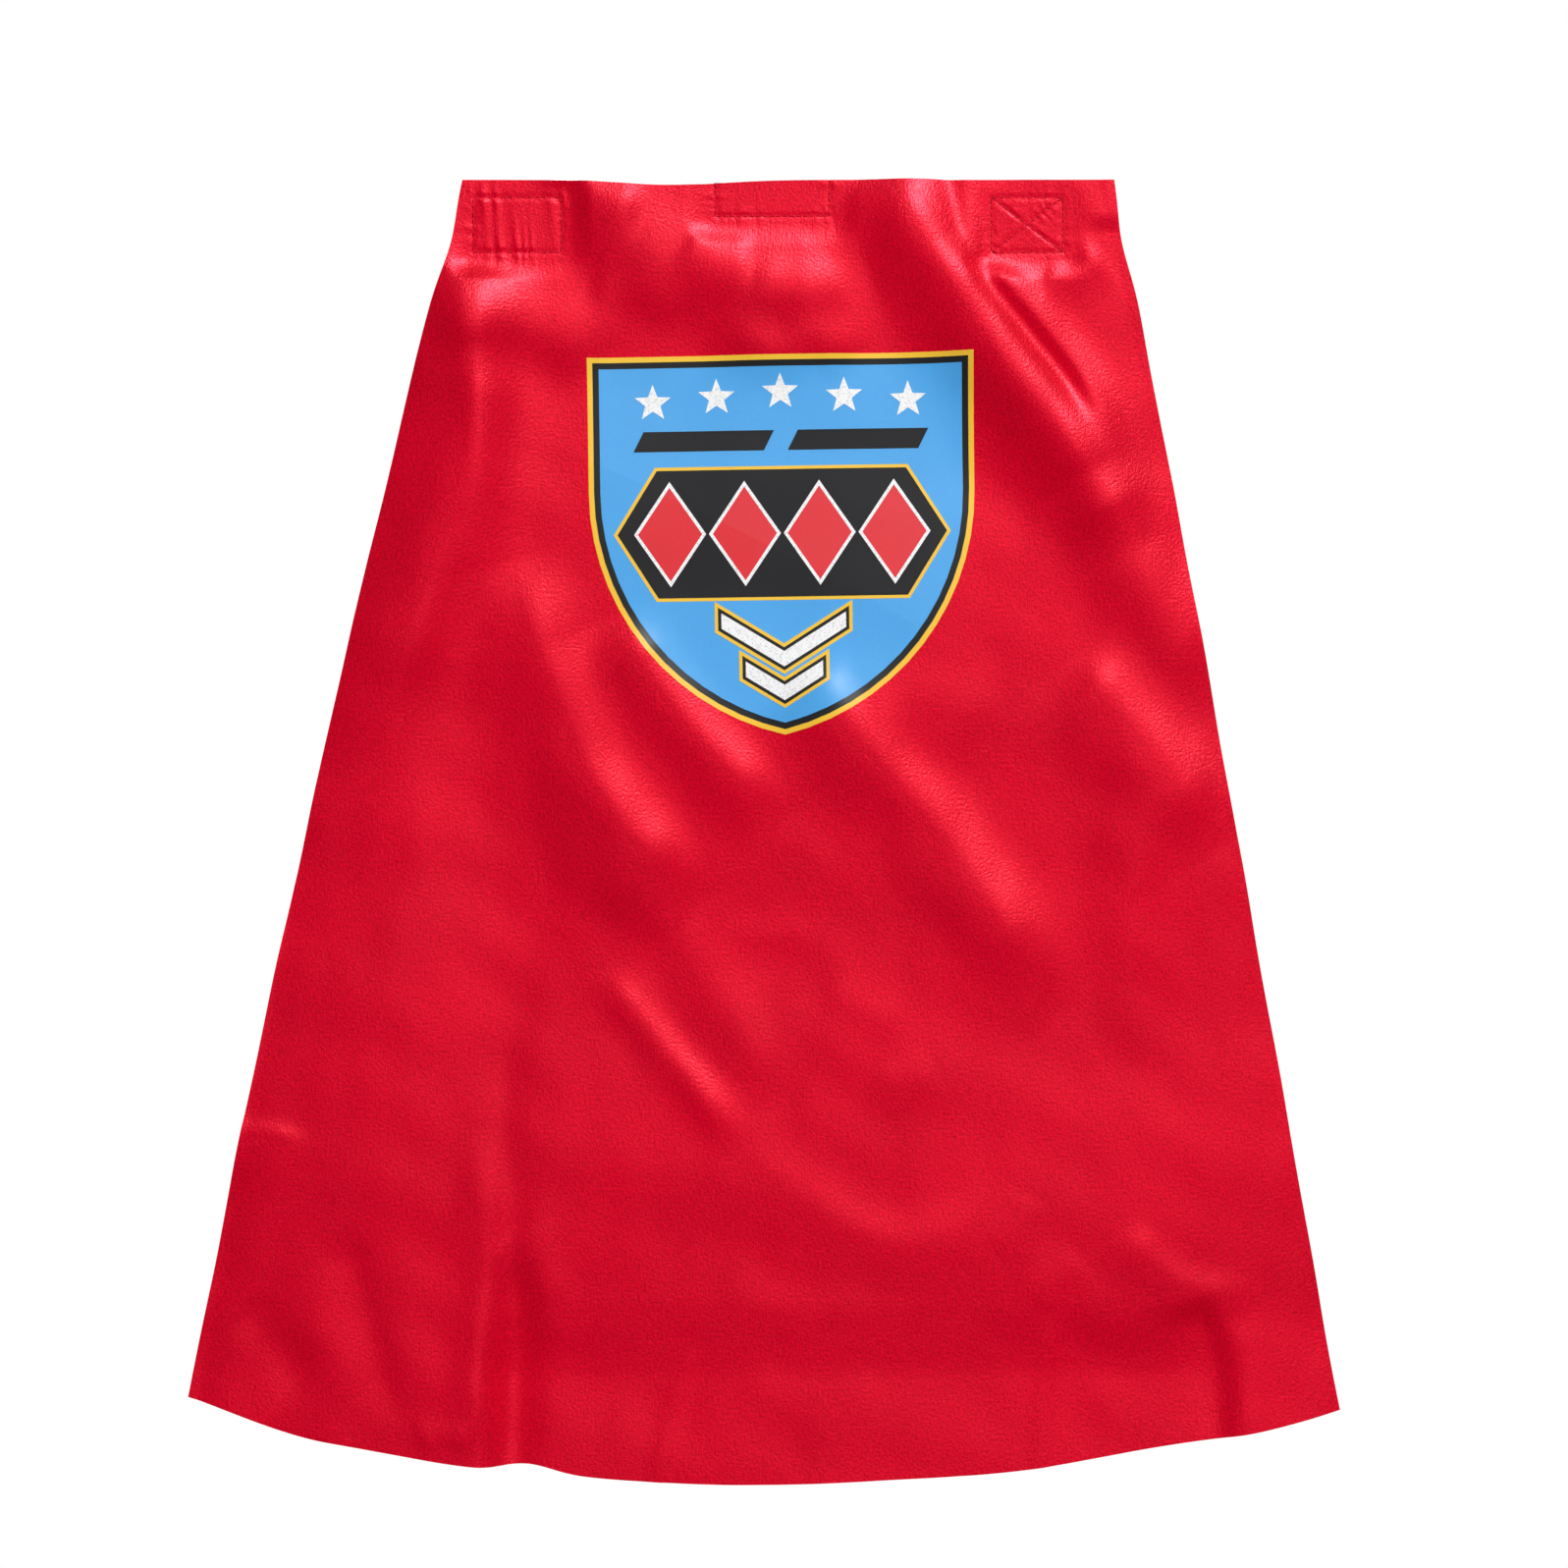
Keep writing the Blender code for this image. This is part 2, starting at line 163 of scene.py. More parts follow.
class CapeSatin(bpy.types.PropertyGroup):
    top_width: FloatProperty(name="Top width", description="Width of the cut at its straight top edge",
                             default=0.220, min=0.1, unit="LENGTH")
    side_length: FloatProperty(name="Side length", description="Depth of the two lower corners of the cut",
                               default=0.414, min=0.1, unit="LENGTH")
    side_bow: FloatProperty(name="Side bow", description="How far each side edge bows out",
                            default=0.0026, unit="LENGTH")
    lean: FloatProperty(name="Lean", description="How far the top edge hangs to the right of the hem",
                        default=0.0083, unit="LENGTH")
    thickness: FloatProperty(name="Thickness", description="Thickness of the satin",
                             default=0.00035, min=0.0001, unit="LENGTH")
    billow: FloatProperty(name="Billow", description="How far the middle of the hem stands out from the wearer",
                          default=0.012, min=0.0, unit="LENGTH")
    hem_drop: FloatProperty(name="Hem drop", description="How far the satin falls in above its hem",
                            default=0.0034, min=0.0, unit="LENGTH")
    columns: IntProperty(name="Columns", description="Faces across the satin", default=240, min=20)
    row_height: FloatProperty(name="Row height", description="Height of a row of faces below the tapes",
                              default=0.0015, min=0.0005, unit="LENGTH")
    colour: FloatVectorProperty(name="Colour", description="Colour of the printed side", subtype="COLOR",
                                default=(0.70, 0.0006, 0.020))
    sheen: FloatVectorProperty(name="Sheen", description="Tint of the satin's gloss", subtype="COLOR",
                               default=(1.0, 0.067, 0.10))


class CapeTapes(bpy.types.PropertyGroup):
    base_thickness: FloatProperty(name="Base thickness", description="Thickness of the tape's woven base",
                                  default=0.0006, min=0.0001, unit="LENGTH")
    selvedge: FloatProperty(name="Selvedge", description="Width of the edge without hooks",
                            default=0.0016, min=0.0, unit="LENGTH")
    hook_pitch: FloatProperty(name="Hook pitch", description="Distance between hooks in a row",
                              default=0.00145, min=0.0005, unit="LENGTH")
    hook_radius: FloatProperty(name="Hook radius", description="Radius of a hook's bend",
                               default=0.00026, min=0.0001, unit="LENGTH")
    monofilament: FloatProperty(name="Monofilament", description="Radius of the yarn that the hooks are cut from",
                                default=0.00009, min=0.00002, unit="LENGTH")
    colour: FloatVectorProperty(name="Colour", description="Colour of the tape", subtype="COLOR",
                                default=(0.40, 0.008, 0.022))


class CapeStitches(bpy.types.PropertyGroup):
    pitch: FloatProperty(name="Pitch", description="Length of one stitch with its gap", default=0.0023,
                         min=0.001, unit="LENGTH")
    thread: FloatProperty(name="Thread", description="Thickness of the thread", default=0.00044,
                          min=0.0001, unit="LENGTH")
    inset: FloatProperty(name="Inset", description="Distance from a tape's edge to its seam", default=0.0008,
                         min=0.0, unit="LENGTH")
    pucker: FloatProperty(name="Pucker", description="Height of the puckers beside a seam", default=0.00070,
                          min=0.0, unit="LENGTH")
    colour: FloatVectorProperty(name="Colour", description="Colour of the thread", subtype="COLOR",
                                default=(0.34, 0.0015, 0.010))


class CapeFilms(bpy.types.PropertyGroup):
    thickness: FloatProperty(name="Thickness", description="Thickness of one cut film", default=0.00008,
                             min=0.00002, unit="LENGTH")
    facet: FloatProperty(name="Facet", description="Largest face of a film, so that it follows the satin",
                         default=0.0015, min=0.0005, unit="LENGTH")
    yellow: FloatVectorProperty(name="Yellow", description="Yellow film", subtype="COLOR",
                                default=(0.93, 0.56, 0.045))
    black: FloatVectorProperty(name="Black", description="Black film", subtype="COLOR",
                               default=(0.017, 0.017, 0.019))
    blue: FloatVectorProperty(name="Blue", description="Blue film", subtype="COLOR",
                              default=(0.080, 0.390, 0.820))
    white: FloatVectorProperty(name="White", description="White film", subtype="COLOR",
                               default=(0.93, 0.93, 0.94))
    red: FloatVectorProperty(name="Red", description="Red film", subtype="COLOR",
                             default=(0.76, 0.030, 0.042))


class CapeStage(bpy.types.PropertyGroup):
    lens: FloatProperty(name="Lens", description="Focal length of the camera in millimetres", default=100, min=20)
    view_side: FloatProperty(name="View", description="Side of the square that the camera sees at the cape",
                             default=0.527, min=0.1, unit="LENGTH")
    view_right: FloatProperty(name="Aim right", description="How far right of the origin the camera looks",
                              default=0.004, unit="LENGTH")
    view_down: FloatProperty(name="Aim down", description="How far below the origin the camera looks",
                             default=0.1966, unit="LENGTH")
    floor_gap: FloatProperty(name="Floor gap", description="Height of the hem above the floor", default=0.25,
                             min=0.0, unit="LENGTH")


class Signal:
    """A shader socket that takes part in Python expressions on values."""

    def __init__(self, paint, socket):
        self.paint = paint
        self.socket = socket

    def _maths(self, operation, first, second):
        return self.paint.node("ShaderNodeMath", {"operation": operation}, {0: first, 1: second})

    def __add__(self, other):
        return self._maths("ADD", self, other)

    def __sub__(self, other):
        return self._maths("SUBTRACT", self, other)

    def __rsub__(self, other):
        return self._maths("SUBTRACT", other, self)

    def __mul__(self, other):
        return self._maths("MULTIPLY", self, other)

    __radd__ = __add__
    __rmul__ = __mul__

    def above(self, other):
        return self._maths("GREATER_THAN", self, other)


class Paint:
    """One material: a Principled BSDF and the nodes that feed it."""

    def __init__(self, name, colour, roughness, **constants):
        self.material = bpy.data.materials.new(name)
        self.material.use_nodes = True
        self.tree = self.material.node_tree
        self.shader = self.tree.nodes["Principled BSDF"]
        self.feed("Base Color", (*colour, 1.0))
        self.feed("Roughness", roughness)
        for socket, value in constants.items():
            self.shader.inputs[socket.replace("_", " ")].default_value = value

    def node(self, kind, settings=None, sockets=None, output=0):
        """Adds a node, sets it up, plugs its sockets and returns one of its outputs."""
        made = self.tree.nodes.new(kind)
        for key, value in (settings or {}).items():
            setattr(made, key, value)
        for key, value in (sockets or {}).items():
            self.plug(made.inputs[key], value)
        return Signal(self, made.outputs[output])

    def plug(self, socket, value):
        if isinstance(value, Signal):
            self.tree.links.new(value.socket, socket)
        else:
            socket.default_value = value

    def feed(self, socket, value):
        """Plugs a value or a signal into the shader."""
        self.plug(self.shader.inputs[socket], value)

    def place(self, layer=None):
        """Object coordinates, or those of a UV layer, in metres."""
        if layer:
            return self.node("ShaderNodeUVMap", {"uv_map": layer})
        return self.node("ShaderNodeTexCoord", output="Object")

    def stretched(self, place, scale):
        """Coordinates multiplied by three scales."""
        return self.node("ShaderNodeMapping", sockets={"Vector": place, "Scale": scale})

    def noise(self, place, scale, detail=2.0):
        return self.node("ShaderNodeTexNoise", sockets={"Vector": place, "Scale": scale, "Detail": detail})

    def mix(self, factor, first, second):
        """Mixes two colours. Sockets 6 and 7 are the Mix node's colours, and output 2 is its colour."""
        colours = {6: first if isinstance(first, Signal) else (*first, 1.0), 7: (*second, 1.0)}
        return self.node("ShaderNodeMix", {"data_type": "RGBA"}, {0: factor, **colours}, output=2)

    def bump(self, height, distance, strength=1.0):
        """A normal from a height signal and the depth that it stands for, in metres."""
        return self.node("ShaderNodeBump", sockets={"Height": height, "Distance": distance, "Strength": strength})


def shade(colour, factor):
    """A lighter or darker colour."""
    return tuple(channel * factor for channel in colour)


def satin_face(settings):
    """Printed side: long floats of filament yarn that run down the cape, and the grain of the ground weave."""
    paint = Paint("satin_face", settings.colour, 0.5, Specular_Tint=(*settings.sheen, 1.0),
                  Specular_IOR_Level=1.0, IOR=1.9)
    cut = paint.place("cut")
    floats = paint.noise(paint.stretched(cut, (2400, 240, 1)), 1.0)
    grain = paint.noise(cut, 1050.0, 3.0)
    wide = paint.noise(cut, 26.0)
    lit = (floats - 0.5) * 1.2 + (grain - 0.5) * 2.4 + (wide - 0.5) * 0.6 + 0.5
    paint.feed("Base Color", paint.mix(lit, shade(settings.colour, 0.80), shade(settings.colour, 1.22)))
    paint.feed("Roughness", 0.33 + floats * 0.08 + grain * 0.06)
    paint.feed("Normal", paint.bump(floats * 0.4 + grain, 0.00022, 1.0))
    return paint.material


def satin_back(settings):
    """Wearer's side: the dull back of the weave."""
    paint = Paint("satin_back", shade(settings.colour, 0.72), 0.62, Specular_IOR_Level=0.3)
    cut = paint.place("cut")
    twill = paint.noise(paint.stretched(cut, (1500, 1500, 1)), 1.0, 3.0)
    paint.feed("Base Color", paint.mix(twill, shade(settings.colour, 0.55), shade(settings.colour, 0.88)))
    paint.feed("Normal", paint.bump(twill, 0.00008, 0.6))
    return paint.material


def fused_edge(settings):
    """The rim of the cut, where a hot knife melted the yarns together."""
    paint = Paint("fused_edge", shade(settings.colour, 0.7), 0.3)
    beads = paint.noise(paint.place(), 1800.0)
    paint.feed("Base Color", paint.mix(beads, shade(settings.colour, 0.5), shade(settings.colour, 0.95)))
    return paint.material


def thread_paint(settings):
    """Twisted polyester sewing thread."""
    paint = Paint("sewing_thread", settings.colour, 0.55, Specular_Tint=(1.0, 0.2, 0.25, 1.0),
                  Specular_IOR_Level=0.4)
    place = paint.place()
    ply = paint.node("ShaderNodeTexWave", {"wave_type": "BANDS", "bands_direction": "DIAGONAL"},
                     {"Vector": place, "Scale": 620.0, "Distortion": 1.0}, output=1)
    paint.feed("Base Color", paint.mix(ply, shade(settings.colour, 0.6), shade(settings.colour, 1.25)))
    paint.feed("Normal", paint.bump(ply, 0.00005, 0.7))
    return paint.material


def tape_ground(settings):
    """Woven nylon ground of the hook tape, with a rib across it."""
    paint = Paint("tape_ground", settings.colour, 0.7, Specular_IOR_Level=0.3)
    place = paint.place()
    rib = paint.node("ShaderNodeTexWave", {"bands_direction": "Z"}, {"Vector": place, "Scale": 420.0,
                     "Distortion": 1.2, "Detail": 1.0}, output=1)
    fuzz = paint.noise(place, 2200.0)
    paint.feed("Base Color", paint.mix(rib * 0.6 + fuzz * 0.4, shade(settings.colour, 0.55),
                                       shade(settings.colour, 1.2)))
    paint.feed("Normal", paint.bump(rib + fuzz * 0.5, 0.0001, 0.7))
    return paint.material


def hook_nylon(settings):
    """Clear dyed monofilament of the hooks, paler at the heat-set bends."""
    paint = Paint("hook_nylon", settings.colour, 0.28, Specular_IOR_Level=0.5)
    depth = paint.node("ShaderNodeSeparateXYZ", sockets={0: paint.place()}, output=1)
    bend = (depth * 900.0 + 0.75) + paint.noise(paint.place(), 900.0) * 0.2
    paint.feed("Base Color", paint.mix(bend, shade(settings.colour, 0.7), shade(settings.colour, 1.5)))
    return paint.material


def film_paint(name, colour, glitter=0.0):
    """Pressed-on film. The satin's grain telegraphs through it, and glitter film sparkles in small flakes."""
    paint = Paint(name, colour, 0.42, Specular_IOR_Level=0.45)
    place = paint.place()
    grain = paint.noise(place, 1400.0)
    cloud = paint.noise(place, 60.0)
    tone = grain * 0.7 + cloud * 0.5 - 0.1
    body = paint.mix(tone, shade(colour, 0.90), shade(colour, 1.06))
    height = grain
    if glitter:
        flakes = paint.node("ShaderNodeTexVoronoi", sockets={"Vector": place, "Scale": 2300.0}, output=1)
        light = paint.node("ShaderNodeSeparateXYZ", sockets={0: flakes})
        body = paint.mix(light.above(0.80) * glitter, body, shade(colour, 0.74))
        paint.feed("Roughness", 0.42 - light.above(0.6) * 0.2)
        height = grain + light * 0.8
    paint.feed("Base Color", body)
    paint.feed("Normal", paint.bump(height, 0.00006, 0.5))
    return paint.material


def waves(x, z, wavelength, seed):
    """Soft irregular waves between about -1 and 1."""
    source = random.Random(seed)
    total = np.zeros_like(x)
    for _ in range(5):
        turn = source.uniform(0, math.tau)
        pace = math.tau / (wavelength * source.uniform(0.75, 1.6))
        phase = source.uniform(0, math.tau)
        total += np.sin(pace * (x * math.cos(turn) + z * math.sin(turn)) + phase)
    return total / 3


def ramp(value):
    """Smoothstep of a value between 0 and 1."""
    value = np.clip(value, 0, 1)
    return value * value * (3 - 2 * value)


def along_route(x, depth, route, steps=14):
    """Signed distance from a smooth route, positive on its right hand, and the share of the route that is passed."""
    points = np.array(route, float)
    ends = np.vstack([2 * points[0] - points[1], points, 2 * points[-1] - points[-2]])
    line = []
    for first, start, end, last in zip(ends, ends[1:], ends[2:], ends[3:]):
        for t in np.linspace(0, 1, steps, endpoint=False):
            line.append(0.5 * (2 * start + (end - first) * t + (2 * first - 5 * start + 4 * end - last) * t**2
                               + (3 * start - first - 3 * end + last) * t**3))
    line.append(points[-1])
    line = np.array(line)
    nearest = np.full(x.shape, np.inf)
    signed = np.zeros_like(x)
    share = np.zeros_like(x)
    for number, (start, end) in enumerate(zip(line, line[1:])):
        run = end - start
        passed = ((x - start[0]) * run[0] + (depth - start[1]) * run[1]) / (run @ run)
        passed = np.clip(passed, 0, 1)
        dx = x - start[0] - passed * run[0]
        dd = depth - start[1] - passed * run[1]
        distance = np.hypot(dx, dd)
        closer = distance < nearest
        nearest = np.where(closer, distance, nearest)
        side = np.where(dx * run[1] - dd * run[0] > 0, 1.0, -1.0)
        signed = np.where(closer, side * distance, signed)
        share = np.where(closer, (number + passed) / (len(line) - 1), share)
    return signed, share


def fold_relief(x, depth):
    """Height of all folds at places in millimetres."""
    total = np.zeros_like(x)
    for route, height, left, right in FOLDS:
        signed, share = along_route(x, depth, route)
        width = np.where(signed > 0, right, left)
        fade = ramp(share / 0.24 + 0.1) * ramp((1 - share) / 0.28 + 0.1)
        total += height * np.exp(-((signed / width) ** 2)) * fade
    return total


def hem_fall(x, depth):
    """How far the satin falls in above its hem, between the long flute on the left and the right corner."""
    drop = bpy.context.scene.cape_satin.hem_drop * ramp((depth - HEM_FALL_DEPTH) / 0.028)
    return drop * ramp((x - HEM_FALL_LEFT_X) / 0.012) * ramp((HEM_FALL_RIGHT_X - x) / 0.03)


def emblem_calm(x, z):
    """1 under the emblem, whose films keep the satin smooth, falling to 0 round it."""
    calm = ramp((EMBLEM_TOP_Z + 0.01 - z) / 0.02) * ramp((z - EMBLEM_LOW_Z + 0.01) / 0.02)
    return calm * ramp((EMBLEM_CALM_HALF_WIDTH - abs(x)) / 0.02)


def tape_cover(x, z, margin):
    """1 over the tapes, falling to 0 within a margin round them."""
    cover = np.zeros_like(x)
    for name in TAPES:
        low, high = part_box(name)
        outside = np.hypot(np.maximum(np.maximum(low.x - x, x - high.x), 0),
                           np.maximum(np.maximum(low.z - z, z - high.z), 0))
        cover = np.maximum(cover, 1 - ramp(outside / margin))
    return cover


def seam_lines(stitches):
    """Ends (x, z) of every seam by tape: a box, a box with a cross, and a strip that is open at its top."""
    lines = {}
    for name in TAPES:
        low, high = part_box(name)
        left, right = low.x + stitches.inset, high.x - stitches.inset
        bottom, top = low.z + stitches.inset, high.z - stitches.inset
        box = [(left, top), (left, bottom), (right, bottom), (right, top)]
        if name == "centre_hook_tape":
            lines[name] = [((left, high.z), box[1]), (box[1], box[2]), (box[2], (right, high.z))]
            continue
        lines[name] = list(zip(box, box[1:] + box[:1]))
        if name == "right_hook_tape":
            lines[name] += [(box[0], box[2]), (box[1], box[3])]
    return lines


def puckers(x, z, stitches):
    """Height of the gathers that the seams draw into the satin, less the grooves that their threads lie in."""
    gathers = np.zeros_like(x)
    groove = np.zeros_like(x)
    seams = [(name, line) for name, lines in seam_lines(stitches).items() for line in lines]
    for number, (name, line) in enumerate(seams):
        start, end = np.array(line[0]), np.array(line[1])
        run = end - start
        length = math.hypot(*run)
        along = ((x - start[0]) * run[0] + (z - start[1]) * run[1]) / length
        beside = ((x - start[0]) * run[1] - (z - start[1]) * run[0]) / length
        distance = np.hypot(beside, np.maximum(np.maximum(-along, along - length), 0))
        wrinkled = name == "left_hook_tape" and line[0][1] == line[1][1]
        under_tape = (beside < 0) & (along > 0) & (along < length)
        reach = GATHER_REACH
        if wrinkled:
            reach = np.where(under_tape, WRINKLE_REACH_INSIDE, WRINKLE_REACH_OUTSIDE)
        uneven = 0.0014 * np.sin(along / 0.0031 + number) + 0.0011 * np.sin(along / 0.0017 + 2 * number)
        drift = 0.12 * beside * math.sin(3 * number + 1)
        ripple = 0.5 + 0.5 * np.sin(math.tau * (along + uneven + drift) / PUCKER_SPACING + number)
        swell = 0.55 + 0.45 * np.sin(along / 0.0047 + 5 * number)
        fall = np.exp(-distance / reach) * (1 - np.exp(-((distance / 0.0007) ** 2)))
        gathers = np.maximum(gathers, ripple**1.4 * swell * fall * (1.5 if wrinkled else 1.0))
        groove = np.maximum(groove, np.exp(-((distance / GROOVE_WIDTH) ** 2)))
    return gathers * stitches.pucker - groove * stitches.thread * 0.7


def satin_y(x, z):
    """The y of the satin's printed face at places in its hanging plane."""
    satin = bpy.context.scene.cape_satin
    stitches = bpy.context.scene.cape_stitches
    depth = TOP_Z - z
    below = np.clip((WAIST_Z - z) / (WAIST_Z - HEM_Z), 0, None)
    out = satin.billow * below**1.4 * (1 - 0.45 * (x / HEM_HALF_WIDTH) ** 2)
    out -= hem_fall(x, depth)
    loose = 1 - tape_cover(x, z, COVER_MARGIN)
    calm = emblem_calm(x, z)
    relief = fold_relief(x / MM, depth / MM) * MM
    relief += waves(x, z, 0.085, 3) * 0.0011 + waves(x, z, 0.036, 8) * 0.00036 * (1 - 0.6 * calm)
    relief += waves(x, z, 0.014, 5) * 0.00011 * (1 - 0.8 * calm)
    side_rim = np.exp(-np.clip(half_width(depth) - abs(x), 0, None) / 0.009)
    relief -= side_rim * 0.0016 * loose
    out += relief * loose + puckers(x, z, stitches)
    return TAPE_FRONT_Y - 0.00003 - satin.thickness - out


def half_width(depth):
    """Half of the cut's width at a depth."""
    satin = bpy.context.scene.cape_satin
    share = np.clip(depth / satin.side_length, 0, 1)
    straight = satin.top_width / 2 + (HEM_HALF_WIDTH * 1.005 - satin.top_width / 2) * share
    return straight + satin.side_bow * np.sin(math.pi * share)


def hem_depth(across):
    """Depth of the hem's arc at a share (-1 to 1) of its width."""
    satin = bpy.context.scene.cape_satin
    drop = CUT_LENGTH - satin.side_length
    radius = (HEM_HALF_WIDTH**2 + drop**2) / (2 * drop)
    return CUT_LENGTH - radius + np.sqrt(radius**2 - (across * HEM_HALF_WIDTH) ** 2)


class SatinGrid:
    """The whole satin as rows of points, from which both lengths are cut."""

    def __init__(self, satin):
        seam_depth = TOP_Z - (EMBLEM_LOW_Z - SEAM_BELOW_EMBLEM)
        fine = np.arange(0, TAPE_ZONE_DEPTH, TAPE_ZONE_ROW)
        rows = round((seam_depth - TAPE_ZONE_DEPTH) / satin.row_height)
        middle = np.linspace(TAPE_ZONE_DEPTH, seam_depth, rows + 1)
        share = np.linspace(0, 1, round((CUT_LENGTH - seam_depth) / satin.row_height) + 1)[1:]
        across = np.linspace(-1, 1, satin.columns + 1)
        level = np.concatenate([fine, middle])[:, None] + np.zeros_like(across)[None, :]
        lower = level[-1] + share[:, None] * (hem_depth(across)[None, :] - level[-1])
        self.depth = np.vstack([level, lower])
        self.seam_row = len(level) - 1
        self.across = across[None, :] + np.zeros_like(self.depth)
        self.flat_x = self.across * half_width(self.depth)
        self.points = self.hung(satin)
        down = np.gradient(self.points, axis=0)
        right = np.gradient(self.points, axis=1)
        normals = np.cross(right, down)
        normals /= np.linalg.norm(normals, axis=2, keepdims=True)
        self.normals = -normals if normals[..., 1].mean() > 0 else normals

    def hung(self, satin):
        """Where the points hang: the cut leans, sags a little between its tapes and has an uneven outline."""
        share = self.depth / satin.side_length
        lean = satin.lean * (np.clip(1 - share, 0, 1) ** 1.6 - 0.33)
        pinch = 0.0016 * np.exp(-(((self.depth - 0.021) / 0.014) ** 2))
        flutter = 0.0002 * waves(self.depth, self.depth * 0, 0.07, 21) * np.abs(self.across) ** 8
        x = self.flat_x * (1 - pinch / half_width(self.depth)) + lean + flutter
        sag = 0.0019 * np.exp(-(((x + 0.036) / 0.026) ** 2)) * np.exp(-self.depth / 0.012)
        ripple = 0.0007 * waves(x, x * 0, 0.06, 12) * np.clip(share, 0, 1) ** 6
        corner = 0.0045 * ramp((-x - 0.15) / 0.045) * np.clip(share, 0, 1) ** 6
        notch = 0.0026 * np.exp(-(((x + 0.081) / 0.011) ** 2)) * np.clip(share, 0, 1) ** 10
        z = TOP_Z - self.depth - sag + ripple + corner + notch
        return np.stack([x, satin_y(x, z), z], axis=2)

    def flat_area(self, rows):
        """Area of the cut over a range of rows."""
        widths = 2 * half_width(self.depth[rows])
        steps = np.diff(self.depth[rows], axis=0)
        return float(((widths[1:] + widths[:-1]) / 2 * steps).mean(axis=1).sum())

    def length(self, rows):
        """Longest depth over a range of rows."""
        return float((self.depth[rows][-1] - self.depth[rows][0]).max())


def satin_length(name, grid, rows, satin, paints):
    """A length of the satin as a thin closed solid: printed face, back and fused rim."""
    front = grid.points[rows]
    normals = grid.normals[rows]
    count, columns = front.shape[:2]
    back = front - normals * satin.thickness
    size = count * columns
    index = np.arange(size).reshape(count, columns)
    quads = np.stack([index[:-1, :-1], index[1:, :-1], index[1:, 1:], index[:-1, 1:]], axis=-1).reshape(-1, 4)
    border = np.concatenate([index[0, :-1], index[:-1, -1], index[-1, :0:-1], index[:0:-1, 0]])
    after = np.roll(border, -1)
    rim = np.stack([border, after, after + size, border + size], axis=1)
    faces = np.concatenate([quads, quads[:, ::-1] + size, rim])
    mesh = bpy.data.meshes.new(name)
    mesh.from_pydata(np.concatenate([front.reshape(-1, 3), back.reshape(-1, 3)]), [], faces.tolist())
    kinds = np.repeat([0, 1, 2], [len(quads), len(quads), len(rim)])
    mesh.polygons.foreach_set("material_index", kinds.astype(np.int32))
    for paint in paints:
        mesh.materials.append(paint)
    cut = np.stack([grid.flat_x[rows], -grid.depth[rows]], axis=2).reshape(-1, 2)
    layer = mesh.uv_layers.new(name="cut")
    layer.data.foreach_set("uv", np.concatenate([cut, cut])[faces.ravel()].astype(np.float32).ravel())
    mesh.shade_smooth()
    corner_normals = np.concatenate([normals.reshape(-1, 3), -normals.reshape(-1, 3)])[faces]
    points = mesh_points(mesh)
    outward = np.cross(points[rim[:, 1]] - points[rim[:, 0]], points[rim[:, 3]] - points[rim[:, 0]])
    outward /= np.maximum(np.linalg.norm(outward, axis=1, keepdims=True), 1e-12)
    corner_normals[2 * len(quads):] = outward[:, None, :]
    mesh.normals_split_custom_set(corner_normals.reshape(-1, 3).tolist())
    piece = bpy.data.objects.new(name, mesh)
    bpy.context.scene.collection.objects.link(piece)
    return piece


def mesh_points(mesh):
    """The vertices of a mesh as an array."""
    points = np.zeros(len(mesh.vertices) * 3, np.float32)
    mesh.vertices.foreach_get("co", points)
    return points.reshape(-1, 3).astype(float)


def move_points(mesh, points):
    """Puts an array back as the vertices of a mesh."""
    mesh.vertices.foreach_set("co", points.astype(np.float32).ravel())
    mesh.update()


def only(*objects):
    """Selects these objects and makes the first one active."""
    bpy.ops.object.select_all(action="DESELECT")
    for obj in objects:
        obj.select_set(True)
    bpy.context.view_layer.objects.active = objects[0]


def apply_modifiers(piece):
    only(piece)
    for modifier in list(piece.modifiers):
        bpy.ops.object.modifier_apply(modifier=modifier.name)


def joined(name, objects):
    """Joins objects into one piece with a name."""
    only(*objects)
    if len(objects) > 1:
        bpy.ops.object.join()
    piece = bpy.context.object
    piece.name = name
    piece.data.name = name
    return piece


def dressed(piece, paint, slot, body, *nodes):
    """Gives a piece its material, the body that it rides on and the nodes that it stands for. The slot is not used.
    """
    piece.data.materials.clear()
    piece.data.materials.append(paint)
    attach(piece, body)
    if nodes:
        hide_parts(*nodes)
    return piece


class CAPE_OT_satin(bpy.types.Operator):
    """Hangs the satin in two lengths that meet on a level line below the emblem"""
    bl_idname = "cape.satin"
    bl_label = "Satin"

    def execute(self, context):
        satin = context.scene.cape_satin
        grid = SatinGrid(satin)
        paints = (satin_face(satin), satin_back(satin), fused_edge(satin))
        upper = slice(0, grid.seam_row + 1)
        lower = slice(grid.seam_row, None)
        shoulder = satin_length("satin_upper_length", grid, upper, satin, paints)
        skirt = satin_length("satin_skirt", grid, lower, satin, paints)
        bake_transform(shoulder)
        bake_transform(skirt)
        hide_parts("panel_yoke", "panel_upper")
        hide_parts("panel_lower")
        for piece, rows in ((shoulder, upper), (skirt, lower)):
            width = 2 * float(half_width(grid.depth[rows]).max())
            grid.flat_area(rows)
        return {"FINISHED"}


